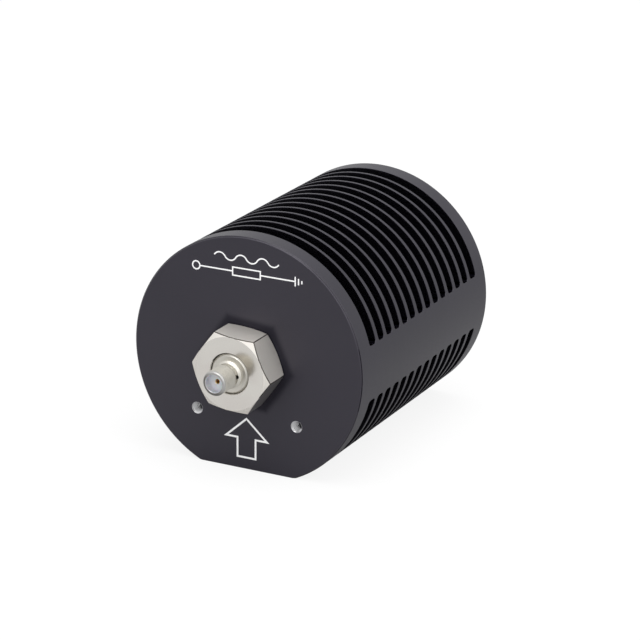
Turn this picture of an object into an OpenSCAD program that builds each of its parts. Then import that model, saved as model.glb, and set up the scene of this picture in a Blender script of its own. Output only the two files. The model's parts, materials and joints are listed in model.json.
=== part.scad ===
// Rf dummy load: a coaxial termination screwed into a round heat sink.
// The heat sink is one extruded bar with fins above and below its web, turned round along Y.
// Its port points towards -Y, it rests on its flat at z = 0, and the origin is under its middle.

/* [Heat sink] */
// Diameter that the bar is turned to
sink_d = 63.5; // [52:0.5:90]
// Length of the bar
sink_l = 73.6; // [60:0.1:120]
// Depth of the resting flat, measured in from the bar's rim
flat_cut = 3.05; // [1:0.05:6]
// Thickness of the solid disc at either end, at its foot on the web
end_disc_t = 5.64; // [3:0.02:9]
// Number of fins between the end discs, on each side of the web
fin_count = 13; // [6:1:15]
// Thickness of one fin at its foot on the web
fin_t = 1.53; // [1:0.01:2]
// Lean of the slots' walls, which thins the fins towards their tips
fin_lean = 0.9; // [0.1:0.05:1.5]
// Width of the first and the last slot at the web
end_slot_w = 3.42; // [2:0.02:5]
// Radius of the fillets at the bottom of each slot
slot_fillet = 0.95; // [0.2:0.05:1]
// Angle at which a fillet's ends meet the slot's floor and wall
fillet_end_angle = 4; // [2:1:8]
// Thickness of the web between the upper and the lower slots
web_t = 14.2; // [12:0.1:24]
// Bevel on the rims of the end discs
rim_bevel = 0.4; // [0.1:0.1:1]

/* [Tapped holes] */
// Distance between the two tapped holes
hole_spacing = 27.94; // [20:0.01:36]
// Distance of the tapped holes below the bar's axis
hole_drop = 14.9; // [12:0.1:19]
// Diameter of a tapped hole at the root of its thread
hole_d = 2.84; // [2:0.01:4]
// Width of the bevel round a tapped hole's mouth
hole_bevel = 0.08; // [0.04:0.01:0.4]

/* [Hex barrel] */
// Drop of the port's axis below the bar's axis
port_drop = 0.7; // [0:0.05:1]
// Size of the hexagon across its flats
hex_af = 19.05; // [15:0.05:24]
// Length of the hexagon, from the heat sink to its front face
hex_l = 8.8; // [7.5:0.1:14]
// Turn of the hexagon's first corner from level
hex_turn = -5.2; // [-30:0.1:30]
// Distance from the flats in to the turned end faces
hex_face_inset = 0.1; // [0.05:0.05:0.5]
// Slope of the bevelled corners from the end faces
hex_bevel_angle = 30; // [15:1:45]
// Outside diameter of the stem's thread
stem_thread_d = 9.525; // [9:0.005:10.5]
// Length of the stem's thread
stem_thread_l = 13; // [8:0.5:18]
// Diameter of the plain stem behind the thread
stem_d = 8.5; // [8:0.05:8.9]
// Bevel on the stem's rear end
stem_bevel = 0.5; // [0.1:0.1:0.8]
// Bevel round the mouth of the heat sink's bore
bore_bevel = 0.4; // [0.1:0.1:1]
// Width of the relief groove between the hexagon and the thread
relief_w = 1.5; // [0.5:0.1:3]
// Length of the bore's thread past the end of the stem's thread
runout_l = 1; // [0.5:0.1:3]
// Air left behind the stem in the heat sink's bore
stem_end_gap = 2; // [0.5:0.5:6]
// Angle of the drill point at the bottom of the bore and of the contact's socket
drill_angle = 118; // [90:1:140]

/* [Jack] */
// Diameter of the flange that sits in the hexagon's face
flange_d = 10.2; // [9:0.1:13]
// Thickness of the flange
flange_t = 2.2; // [1:0.1:3.5]
// Bevel round the flange's front edge
flange_bevel = 0.45; // [0.05:0.05:0.6]
// Joint left round the flange
flange_joint = 0.15; // [0.05:0.05:0.4]
// Length of the spigot behind the flange
spigot_l = 4.2; // [2:0.1:5]
// Diameter of the collar in front of the flange
collar_d = 7.2; // [6.6:0.1:8.8]
// Length of the collar
collar_l = 0.95; // [0.5:0.05:2]
// Bevel on the collar's front edge
collar_bevel = 0.55; // [0.1:0.05:0.6]
// Diameter of the neck behind the thread
neck_d = 5.45; // [5.2:0.05:6.2]
// Length of the neck
neck_l = 1.2; // [1.1:0.1:3]
// Outside diameter of the port's thread
port_thread_d = 6.35; // [6:0.01:6.5]
// Length of the port's thread, with its bevelled start
port_thread_l = 5.55; // [4.5:0.05:9]
// Bevel at the start of the port's thread
port_bevel = 0.4; // [0.1:0.05:0.7]
// Diameter of the counterbore that takes the mating shell
counterbore_d = 4.6; // [4.3:0.05:4.9]
// Depth of the counterbore, from the port's end to the insulator
counterbore_l = 1.9; // [1:0.05:2.5]
// Diameter of the insulator
dielectric_d = 4.1; // [3.6:0.05:4.2]

/* [Centre contact] */
// Diameter of the contact
contact_d = 1.27; // [1.1:0.01:1.6]
// Diameter of the socket in the contact
socket_d = 0.94; // [0.7:0.01:1]
// Depth of the socket
socket_l = 3; // [2.4:0.1:3.1]
// Bevel round the socket's mouth
socket_bevel = 0.1; // [0.04:0.01:0.12]
// Length of the slots that make the socket springy
socket_slot_l = 2.5; // [1.5:0.1:2.9]
// Width of those slots
socket_slot_w = 0.2; // [0.1:0.05:0.3]
// Diameter of the contact's tail and of the groove that locks it
tail_d = 0.9; // [0.7:0.01:1]
// Length of the tail past the bead
tail_l = 1.8; // [1.2:0.1:2.2]
// Diameter of the cross hole in the neck
cross_hole_d = 1.05; // [0.7:0.05:1.1]
// Distance from the neck's surface in to the plug that fills the cross hole
plug_recess = 0.5; // [0:0.05:0.6]

/* [Resistor] */
// Diameter of the resistor rod
rod_d = 2.6; // [2.4:0.05:3]
// Length of the rod
rod_l = 20; // [16:0.5:24]
// Bore through the rod
rod_bore_d = 1.2; // [0.8:0.1:1.6]
// Ratio of the line's outer to its inner conductor, which sets its impedance in air
line_ratio = 2.3; // [2.1:0.05:2.4]
// Thickness of the bead that carries the contact's tail
bead_t = 1; // [0.6:0.1:1.5]
// Step that holds the bead in the barrel
bead_step = 0.2; // [0.15:0.05:0.3]
// Wall of the caps on the rod's ends
cap_wall = 0.4; // [0.2:0.05:0.5]
// Floor left under the tail's socket in the front cap
socket_floor_t = 0.2; // [0.1:0.05:0.3]
// Length of the rod that each cap covers
cap_grip = 2; // [1:0.1:4]
// Diameter of the nose that takes the tail and of the rear cap's spigot
nose_d = 1.9; // [1.6:0.1:2.2]
// Length of the front cap's nose
nose_l = 1.5; // [1.4:0.1:2.5]
// Room between the bead and the nose
nose_gap = 0.5; // [0.3:0.1:1]
// Room round the rear cap, at the narrow end of the taper
taper_gap = 0.2; // [0.1:0.05:0.4]

/* [Ground end] */
// Room behind the rear cap
rear_gap = 0.6; // [0.3:0.1:1.5]
// Diameter of the threaded bore that the rear plug closes
plug_d = 5.5; // [5:0.05:6.2]
// Length of the rear plug
plug_l = 7.5; // [7:0.5:12]
// Bevel on the rear plug's rear edge
plug_bevel = 0.3; // [0.1:0.1:0.6]
// Depth of the hollow in the rear plug's front
plug_hollow_l = 4; // [3.6:0.1:5]
// Wall round that hollow
plug_wall = 0.8; // [0.5:0.05:1]
// Thickness of the collet's flange
collet_t = 0.5; // [0.3:0.05:0.8]
// Wall of the collet's fingers
finger_t = 0.35; // [0.2:0.05:0.45]
// Length of the collet's fingers
finger_l = 2.6; // [1.5:0.1:3]
// Width of the slots between the fingers
finger_slot_w = 0.3; // [0.2:0.05:0.5]
// Width of the screwdriver slot in the rear plug
driver_slot_w = 0.8; // [0.5:0.1:1.2]
// Depth of the screwdriver slot
driver_slot_l = 1.2; // [0.6:0.1:2]

/* [Fits] */
// Clearance all round a screwed or pressed joint
fit_gap = 0.02; // [0.01:0.01:0.05]
// Clearance all round the plain end of the stem
stem_gap = 0.1; // [0.05:0.05:0.3]

/* [Hidden] */
round_fn = 96;
// How far a cutting shape runs past the face that it cuts
over = 1;
sink_r = sink_d / 2;
// The port's length in front of the heat sink, and where the ends lie along Y
port_l = hex_l + collar_l + neck_l + port_thread_l;
front_y = (port_l - sink_l) / 2;
axis_z = sink_r - flat_cut;
port_z = axis_z - port_drop;
// The slots share the length that the discs, the fins and the two end slots leave
slot_w = (sink_l - 2 * end_disc_t - 2 * end_slot_w - fin_count * fin_t) / (fin_count - 1);
// Stations along the port's axis: distances out from the heat sink's front face, negative inside it
bead_seat = hex_l - flange_t - spigot_l - bead_t;
nose_front = bead_seat - nose_gap;
rod_front = nose_front - nose_l - cap_wall;
rod_rear = rod_front - rod_l;
rear_shoulder = rod_rear - cap_wall - rear_gap;
stem_end = rear_shoulder - plug_l;
contact_front = port_l - counterbore_l;
contact_rear = bead_seat + bead_t;
tail_end = bead_seat - tail_l;
neck_middle = hex_l + collar_l + neck_l / 2;
plug_front = rear_shoulder - collet_t;
// Radii of the line
cavity_r = rod_d / 2 * line_ratio;
bead_r = cavity_r + bead_step;
cap_r = rod_d / 2 + cap_wall;
taper_r = cap_r + taper_gap;
flange_seat_r = flange_d / 2 + flange_joint;
plug_hollow_r = plug_d / 2 - plug_wall;

// Places what is drawn along +Z, with z = 0 at the heat sink's front face, on the port's axis
module on_port() {
    translate([0, front_y, port_z])
        rotate([90, 0, 0])
            children();
}

// A body of revolution from its half section: points of radius and height
module turned(section) {
    rotate_extrude($fn = round_fn)
        polygon(section);
}

// A round hole or pin between two heights
module round_bar(r, low, high) {
    translate([0, 0, low])
        cylinder(r = r, h = high - low, $fn = round_fn);
}

// Evenly turned saw cuts across the axis, each reaching from one side to the other
module cross_slots(width, low, high, reach) {
    for (turn = [0, 90])
        rotate([0, 0, turn])
            translate([-reach, -width / 2, low])
                cube([2 * reach, width, high - low]);
}

// How wide slot i is at the web, and where its middle lies along the bar, from the front face
function slot_width(i) = (i == 0 || i == fin_count) ? end_slot_w : slot_w;
function slot_middle(i) = i == 0
    ? end_disc_t + end_slot_w / 2
    : slot_middle(i - 1) + slot_width(i - 1) / 2 + fin_t + slot_width(i) / 2;

// The bar's round outside, with both rims bevelled
module sink_bar() {
    translate([0, front_y, axis_z])
        rotate([-90, 0, 0])
            turned([[0, 0], [sink_r - rim_bevel, 0], [sink_r, rim_bevel],
                [sink_r, sink_l - rim_bevel], [sink_r - rim_bevel, sink_l], [0, sink_l]]);
}

// A slot's outline: its floor on the X axis, leaning walls, and a fillet in each corner
module slot_outline(width) {
    fillet_reach = slot_fillet * cos(fillet_end_angle);
    fillet_x = width / 2 - fillet_reach * (1 - sin(fin_lean)) / cos(fin_lean);
    top_half = width / 2 + sink_r * tan(fin_lean);
    difference() {
        polygon([[-width / 2, 0], [width / 2, 0], [top_half, sink_r], [-top_half, sink_r]]);
        for (side = [0, 1])
            mirror([side, 0])
                translate([fillet_x, fillet_reach])
                    difference() {
                        translate([0, -fillet_reach - over])
                            square([width / 2 - fillet_x + over, fillet_reach * (1 - sin(fin_lean)) + over]);
                        circle(r = slot_fillet, $fn = round_fn);
                    }
    }
}

// The room of every slot, above the web and below it
module sink_slots() {
    for (i = [0 : fin_count], side = [-1, 1])
        translate([0, front_y + slot_middle(i), axis_z + side * web_t / 2])
            rotate([side * 90, 0, side * 90])
                linear_extrude(2 * sink_d, center = true)
                    slot_outline(slot_width(i));
}

// The stepped bore for the stem: a bevelled mouth, a threaded length, a plain length and the drill's point
module sink_bore() {
    thread_r = stem_thread_d / 2 + fit_gap;
    plain_r = stem_d / 2 + stem_gap;
    thread_depth = relief_w + stem_thread_l + runout_l;
    depth = -stem_end + stem_end_gap;
    point = plain_r / tan(drill_angle / 2);
    turned([[0, over], [thread_r + bore_bevel + over, over], [thread_r, -bore_bevel],
        [thread_r, -thread_depth], [plain_r, -thread_depth], [plain_r, -depth], [0, -depth - point]]);
}

// A tapped hole right through the front disc, with a bevelled mouth
module tapped_hole() {
    mouth_r = hole_d / 2 + hole_bevel;
    turned([[0, over], [mouth_r + over, over], [mouth_r, 0], [hole_d / 2, -hole_bevel],
        [hole_d / 2, -end_disc_t - over], [0, -end_disc_t - over]]);
}

module heat_sink() {
    color("#26262a")
        difference() {
            sink_bar();
            sink_slots();
            // The resting flat along the whole bottom
            translate([-sink_d, front_y - over, -sink_d])
                cube([2 * sink_d, sink_l + 2 * over, sink_d]);
            on_port()
                sink_bore();
            on_port()
                for (side = [-1, 1])
                    translate([side * hole_spacing / 2, port_drop - hole_drop, 0])
                        tapped_hole();
        }
}

// The hexagon, with its corners turned off at both ends
module hex_head() {
    corner_r = hex_af / sqrt(3);
    face_r = hex_af / 2 - hex_face_inset;
    rim_r = corner_r + over;
    setback = (rim_r - face_r) * tan(hex_bevel_angle);
    intersection() {
        rotate([0, 0, hex_turn])
            cylinder(r = corner_r, h = hex_l, $fn = 6);
        turned([[0, 0], [face_r, 0], [rim_r, setback], [rim_r, hex_l - setback],
            [face_r, hex_l], [0, hex_l]]);
    }
}

// The stem behind the hexagon: a relief groove, the thread's length, its run-down and the plain end
module stem() {
    thread_r = stem_thread_d / 2;
    plain_r = stem_d / 2;
    thread_end = -relief_w - stem_thread_l;
    turned([[0, over], [plain_r, over], [plain_r, -relief_w], [thread_r, -relief_w],
        [thread_r, thread_end + thread_r - plain_r], [plain_r, thread_end],
        [plain_r, stem_end + stem_bevel], [plain_r - stem_bevel, stem_end], [0, stem_end]]);
}

// The room inside the barrel: flange seat, spigot bore, the tapered line and the rear bore
module barrel_room() {
    taper_front = tail_end;
    taper_rear = rod_rear;
    turned([[0, hex_l + over], [flange_seat_r, hex_l + over], [flange_seat_r, hex_l - flange_t],
        [bead_r + fit_gap, hex_l - flange_t], [bead_r + fit_gap, bead_seat], [cavity_r, bead_seat],
        [cavity_r, taper_front], [taper_r, taper_rear], [taper_r, rear_shoulder],
        [plug_d / 2 + fit_gap, rear_shoulder], [plug_d / 2 + fit_gap, stem_end - over],
        [0, stem_end - over]]);
}

module hex_barrel() {
    color("#c9c5bd")
        on_port()
            difference() {
                union() {
                    hex_head();
                    stem();
                }
                barrel_room();
            }
}

module jack_shell() {
    flange_r = flange_d / 2;
    collar_top = hex_l + collar_l;
    neck_top = collar_top + neck_l;
    thread_r = port_thread_d / 2;
    insulator_r = dielectric_d / 2 + fit_gap;
    color("#cfccc6")
        on_port()
            difference() {
                turned([[insulator_r, contact_rear], [bead_r, contact_rear], [bead_r, hex_l - flange_t],
                    [flange_r, hex_l - flange_t], [flange_r, hex_l - flange_bevel],
                    [flange_r - flange_bevel, hex_l], [collar_d / 2, hex_l],
                    [collar_d / 2, collar_top - collar_bevel], [collar_d / 2 - collar_bevel, collar_top],
                    [neck_d / 2, collar_top], [neck_d / 2, neck_top], [thread_r, neck_top],
                    [thread_r, port_l - port_bevel], [thread_r - port_bevel, port_l],
                    [counterbore_d / 2, port_l], [counterbore_d / 2, contact_front],
                    [insulator_r, contact_front]]);
                translate([0, 0, neck_middle])
                    rotate([0, 90, 0])
                        round_bar(cross_hole_d / 2, 0, collar_d);
            }
}

module dielectric() {
    color("#e4e6ea")
        on_port()
            difference() {
                round_bar(dielectric_d / 2, contact_rear, contact_front);
                round_bar(contact_d / 2 + fit_gap, contact_rear - over, contact_front + over);
                translate([0, 0, neck_middle])
                    rotate([0, 90, 0])
                        round_bar(cross_hole_d / 2, 0, dielectric_d);
            }
}

// The socket contact: a drilled and slotted socket, a locking groove and the tail that meets the resistor
module centre_contact() {
    contact_r = contact_d / 2;
    socket_r = socket_d / 2;
    groove_half = cross_hole_d / 2;
    socket_bottom = contact_front - socket_l;
    color("#c9a455")
        on_port()
            difference() {
                turned([[0, tail_end], [tail_d / 2, tail_end], [tail_d / 2, contact_rear],
                    [contact_r, contact_rear], [contact_r, neck_middle - groove_half],
                    [tail_d / 2, neck_middle - groove_half], [tail_d / 2, neck_middle + groove_half],
                    [contact_r, neck_middle + groove_half], [contact_r, contact_front], [0, contact_front]]);
                turned([[0, socket_bottom - socket_r / tan(drill_angle / 2)], [socket_r, socket_bottom],
                    [socket_r, contact_front - socket_bevel],
                    [socket_r + socket_bevel + over, contact_front + over], [0, contact_front + over]]);
                cross_slots(socket_slot_w, contact_front - socket_slot_l, contact_front + over, contact_d);
            }
}

// The filling of the cross hole: a pin down to the contact and a ring in its groove
module captivation_plug() {
    pin_r = cross_hole_d / 2 - fit_gap;
    ring_r = contact_d / 2 + fit_gap;
    color("#2b2622")
        on_port()
            translate([0, 0, neck_middle])
                difference() {
                    union() {
                        round_bar(ring_r, -pin_r, pin_r);
                        rotate([0, 90, 0])
                            round_bar(pin_r, 0, neck_d / 2 - plug_recess);
                    }
                    round_bar(tail_d / 2, -over, over);
                }
}

module support_bead() {
    color("#d9d4c7")
        on_port()
            difference() {
                round_bar(bead_r, bead_seat, contact_rear);
                round_bar(tail_d / 2 + fit_gap, bead_seat - over, contact_rear + over);
            }
}

// A cap on the rod's front end, with a slotted nose that takes the contact's tail
module front_cap() {
    socket_depth = nose_l + cap_wall - socket_floor_t;
    color("#c9a455")
        on_port()
            difference() {
                turned([[0, rod_front], [rod_d / 2 + fit_gap, rod_front],
                    [rod_d / 2 + fit_gap, rod_front - cap_grip], [cap_r, rod_front - cap_grip],
                    [cap_r, rod_front + cap_wall], [nose_d / 2, rod_front + cap_wall],
                    [nose_d / 2, nose_front], [0, nose_front]]);
                round_bar(tail_d / 2 + fit_gap, nose_front - socket_depth, nose_front + over);
                cross_slots(socket_slot_w, rod_front + cap_wall, nose_front + over, nose_d);
            }
}

module resistor_rod() {
    color("#7d6d5d")
        on_port()
            difference() {
                round_bar(rod_d / 2, rod_rear, rod_front);
                round_bar(rod_bore_d / 2, rod_rear - over, rod_front + over);
            }
}

// A cap on the rod's rear end, with a spigot for the collet
module rear_cap() {
    spigot_end = plug_front - finger_l;
    color("#c9a455")
        on_port()
            turned([[0, rod_rear], [rod_d / 2 + fit_gap, rod_rear],
                [rod_d / 2 + fit_gap, rod_rear + cap_grip], [cap_r, rod_rear + cap_grip],
                [cap_r, rod_rear - cap_wall], [nose_d / 2, rod_rear - cap_wall],
                [nose_d / 2, spigot_end], [0, spigot_end]]);
}

// A flanged spring ring whose fingers grip the rear cap's spigot
module ground_collet() {
    grip_r = nose_d / 2 + fit_gap;
    finger_end = plug_front - finger_l;
    color("#b98d4a")
        on_port()
            difference() {
                turned([[grip_r, rear_shoulder], [plug_d / 2, rear_shoulder], [plug_d / 2, plug_front],
                    [grip_r + finger_t, plug_front], [grip_r + finger_t, finger_end], [grip_r, finger_end]]);
                cross_slots(finger_slot_w, finger_end - over, plug_front, plug_d);
            }
}

// The screw that clamps the collet's flange and closes the barrel
module rear_plug() {
    hollow_end = plug_front - plug_hollow_l;
    color("#c9c5bd")
        on_port()
            difference() {
                turned([[0, hollow_end], [plug_hollow_r, hollow_end], [plug_hollow_r, plug_front],
                    [plug_d / 2, plug_front], [plug_d / 2, stem_end + plug_bevel],
                    [plug_d / 2 - plug_bevel, stem_end], [0, stem_end]]);
                translate([-plug_d, -driver_slot_w / 2, stem_end - over])
                    cube([2 * plug_d, driver_slot_w, driver_slot_l + over]);
            }
}

heat_sink();
hex_barrel();
jack_shell();
dielectric();
centre_contact();
captivation_plug();
support_bead();
front_cap();
resistor_rod();
rear_cap();
ground_collet();
rear_plug();
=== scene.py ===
"""Looks of an rf dummy load, built round its packed construction.

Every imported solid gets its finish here. The heat sink, the hexagonal barrel and the jack are made again
with broken edges and, on the jack, with a real screw thread. The script also threads the two front holes,
adds the pale marks on the front disc, and sets a plain studio with the camera at the photograph's view.
Sizes are in metres, in the row frame: +Z is up and the port faces -Y.
"""

import json
import logging
import math
from dataclasses import dataclass, field
from enum import Enum
from typing import Any

import bmesh
import bpy
from bmesh.types import BMEdge, BMesh, BMFace, BMVert
from bpy.types import Material, NodeSocket, Object, World
from mathutils import Matrix, Vector


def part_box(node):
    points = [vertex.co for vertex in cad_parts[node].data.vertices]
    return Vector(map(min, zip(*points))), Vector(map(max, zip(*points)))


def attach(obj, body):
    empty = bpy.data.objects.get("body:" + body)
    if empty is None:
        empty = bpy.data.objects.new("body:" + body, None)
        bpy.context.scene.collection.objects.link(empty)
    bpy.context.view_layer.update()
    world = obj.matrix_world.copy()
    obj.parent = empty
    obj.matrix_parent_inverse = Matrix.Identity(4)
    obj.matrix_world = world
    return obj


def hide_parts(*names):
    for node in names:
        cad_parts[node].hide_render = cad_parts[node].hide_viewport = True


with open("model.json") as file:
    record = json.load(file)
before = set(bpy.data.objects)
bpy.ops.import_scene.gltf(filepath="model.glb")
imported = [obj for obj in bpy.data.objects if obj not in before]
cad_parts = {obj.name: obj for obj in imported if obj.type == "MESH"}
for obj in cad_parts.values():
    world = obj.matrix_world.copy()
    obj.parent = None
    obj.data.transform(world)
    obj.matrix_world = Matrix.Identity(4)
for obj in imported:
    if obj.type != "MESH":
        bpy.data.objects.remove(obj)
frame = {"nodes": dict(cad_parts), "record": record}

LOG = logging.getLogger("dummy_load")
MM = 0.001
# Vertices closer to each other than this are merged.
MERGE = 1e-7
# Turns +Z to -Y, the way the port faces, and so a flat drawing onto the front disc.
TO_PORT = Matrix.Rotation(math.pi / 2, 4, "X")
ROOT = "root"
# The face attribute by which a finish knows a broken edge.
EDGE = "edge"
Colour = tuple[float, float, float]
Opaque = tuple[float, float, float, float]
# Points of radius and distance along -Y.
Section = list[tuple[float, float]]
Inputs = dict[str | int, Any]


class Node(Enum):
    """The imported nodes, by the name that each has in the frame."""

    HEAT_SINK = "heat_sink"
    HEX_BARREL = "hex_barrel"
    JACK_SHELL = "jack_shell"
    DIELECTRIC = "dielectric"
    CENTRE_CONTACT = "centre_contact"
    CAPTIVATION_PLUG = "captivation_plug"
    SUPPORT_BEAD = "support_bead"
    FRONT_CAP = "front_cap"
    RESISTOR_ROD = "resistor_rod"
    REAR_CAP = "rear_cap"
    GROUND_COLLET = "ground_collet"
    REAR_PLUG = "rear_plug"


class Slot(Enum):
    """The record's material slots, by name."""

    ANODISE = "black_anodise"
    BARREL = "barrel_steel"
    JACK = "jack_steel"


@dataclass(frozen=True)
class Layout:
    """Places and sizes read from the frame, and how the hexagon lies."""

    front_y: float
    rear_y: float
    sink_r: float
    axis_z: float
    port: Vector
    thread_r: float
    thread_l: float
    holes: tuple[Vector, Vector]
    hole_r: float
    hex_y: float
    hex_half: float = 9.525 * MM
    hex_turn: float = math.radians(-5.2)

    def sink_l(self) -> float:
        """Return the heat sink's length."""
        return self.rear_y - self.front_y

    def flat_angles(self, *numbers: int) -> list[float]:
        """Return the directions in which flats of the hexagon face, numbered from the top one."""
        return [self.hex_turn + math.pi / 2 + number * math.pi / 3 for number in numbers]

    @classmethod
    def from_frame(cls) -> "Layout":
        """Read the heat sink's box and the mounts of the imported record.

        Returns:
            The places that every piece is built from.
        """
        low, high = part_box(Node.HEAT_SINK.value)
        sink_r = (high.x - low.x) / 2
        mounts = {mount["name"]: mount for mount in frame["record"]["mounts"]}
        port, holes = mounts["port"], mounts["front_holes"]
        middle = Vector(holes["pos_m"])
        step = Vector((holes["dims"]["spacing_x_mm"] * MM / 2, 0, 0))
        return cls(
            front_y=low.y,
            rear_y=high.y,
            sink_r=sink_r,
            axis_z=high.z - sink_r,
            port=Vector(port["pos_m"]),
            thread_r=port["dims"]["r_mm"] * MM,
            thread_l=port["dims"]["length_mm"] * MM,
            holes=(middle - step, middle + step),
            hole_r=holes["dims"]["hole_r_mm"] * MM,
            hex_y=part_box(Node.HEX_BARREL.value)[0].y,
        )


@dataclass(frozen=True)
class Shade:
    """A number that runs through a material's nodes. Arithmetic on it adds Math nodes."""

    bench: "Bench"
    socket: NodeSocket

    def __add__(self, other: "Shade | float") -> "Shade":
        """Return self + other."""
        return self.bench.math("ADD", self, other)

    def __sub__(self, other: "Shade | float") -> "Shade":
        """Return self - other."""
        return self.bench.math("SUBTRACT", self, other)

    def __rsub__(self, other: float) -> "Shade":
        """Return other - self."""
        return self.bench.math("SUBTRACT", other, self)

    def __mul__(self, other: "Shade | float") -> "Shade":
        """Return self * other."""
        return self.bench.math("MULTIPLY", self, other)

    def __lt__(self, other: "Shade | float") -> "Shade":
        """Return 1 where self is below other, and 0 elsewhere."""
        return self.bench.math("LESS_THAN", self, other)

    def __gt__(self, other: "Shade | float") -> "Shade":
        """Return 1 where self is above other, and 0 elsewhere."""
        return self.bench.math("GREATER_THAN", self, other)

    __radd__ = __add__
    __rmul__ = __mul__


Place = tuple[Shade, Shade, Shade]


class Bench:
    """The node tree of a material or of the world, and the ways to add to it."""

    def __init__(self, owner: Material | World) -> None:
        """Start with an empty tree.

        Args:
            owner: What the nodes are for.
        """
        self.owner = owner
        owner.use_nodes = True
        self.tree = owner.node_tree
        self.tree.nodes.clear()

    def node(
        self, kind: str, settings: dict[str, Any] | None = None, sockets: Inputs | None = None
    ) -> bpy.types.Node:
        """Add one node.

        Args:
            kind: The node's type, such as ShaderNodeMath.
            settings: What is set on the node first.
            sockets: Values or links for its inputs, by name or number.

        Returns:
            The new node.
        """
        made = self.tree.nodes.new(kind)
        for key, value in (settings or {}).items():
            setattr(made, key, value)
        for key, value in (sockets or {}).items():
            source = value.socket if isinstance(value, Shade) else value
            if isinstance(source, NodeSocket):
                self.tree.links.new(source, made.inputs[key])
            else:
                made.inputs[key].default_value = source
        return made

    def shade(self, kind: str, settings: dict[str, Any] | None, sockets: Inputs) -> Shade:
        """Add one node and return its first output, which is a number."""
        return Shade(self, self.node(kind, settings, sockets).outputs[0])

    def math(self, operation: str, first: Any, second: Any = 0.0) -> Shade:
        """Return the result of a Math node on one or two values or shades."""
        return self.shade("ShaderNodeMath", {"operation": operation}, {0: first, 1: second})

    def place(self, centre: Vector = Vector()) -> Place:
        """Read where a point lies on the object.

        Args:
            centre: The point that counts as zero.

        Returns:
            The point's x, y and z in metres.
        """
        coordinates = self.node("ShaderNodeTexCoord").outputs["Object"]
        moved = self.node("ShaderNodeMapping", None, {"Vector": coordinates, "Location": -centre})
        split = self.node("ShaderNodeSeparateXYZ", None, {0: moved.outputs[0]})
        return tuple(Shade(self, output) for output in split.outputs)

    def distance(self, across: Shade, up: Shade) -> Shade:
        """Return how far a point lies from an axis, from its two offsets."""
        return self.math("SQRT", across * across + up * up)

    def reach(self, across: Shade, up: Shade, angles: list[float]) -> Shade:
        """Measure how far out a point lies along that direction in which it lies furthest.

        Args:
            across: The point's level offset from the axis.
            up: Its upright offset.
            angles: The directions, from level towards upright.

        Returns:
            The distance, or 0 where the point lies behind the axis in every direction.
        """
        away: Any = 0.0
        for angle in angles:
            away = self.math("MAXIMUM", across * math.cos(angle) + up * math.sin(angle), away)
        return away

    def step(self, value: Shade, start: float, end: float) -> Shade:
        """Return a number that runs smoothly from 0 at start to 1 at end."""
        sockets = {"Value": value, "From Min": start, "From Max": end}
        return self.shade("ShaderNodeMapRange", {"interpolation_type": "SMOOTHSTEP"}, sockets)

    def noise(self, x: Any, y: Any, z: Any, scale: float, detail: float = 2.0) -> Shade:
        """Return noise from 0 to 1, with scale lumps to a metre and detail finer layers."""
        vector = self.node("ShaderNodeCombineXYZ", None, {0: x, 1: y, 2: z}).outputs[0]
        return self.shade("ShaderNodeTexNoise", None, {"Vector": vector, "Scale": scale, "Detail": detail})

    def mix(self, factor: Any, first: Any, second: Any) -> NodeSocket:
        """Mix two colours, each of them a tuple or a link.

        Args:
            factor: A value or a shade that is 0 for the first colour and 1 for the second.
            first: The first colour.
            second: The second colour.

        Returns:
            The mixed colour.
        """
        first, second = ((*item, 1.0) if isinstance(item, tuple) else item for item in (first, second))
        made = self.node("ShaderNodeMix", {"data_type": "RGBA"}, {"Factor": factor, 6: first, 7: second})
        return made.outputs[2]

    def bump(self, height: Shade, depth: float) -> NodeSocket:
        """Return the normal of a surface with that height, at a full depth in metres."""
        return self.node("ShaderNodeBump", None, {"Height": height, "Distance": depth}).outputs[0]

    def surface(self, sockets: dict[str, Any]) -> Material:
        """Finish the material with one Principled shader.

        Args:
            sockets: Values or links of the shader's sockets.

        Returns:
            The material.
        """
        shader = self.node("ShaderNodeBsdfPrincipled", None, sockets)
        self.node("ShaderNodeOutputMaterial", None, {"Surface": shader.outputs[0]})
        return self.owner


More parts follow.
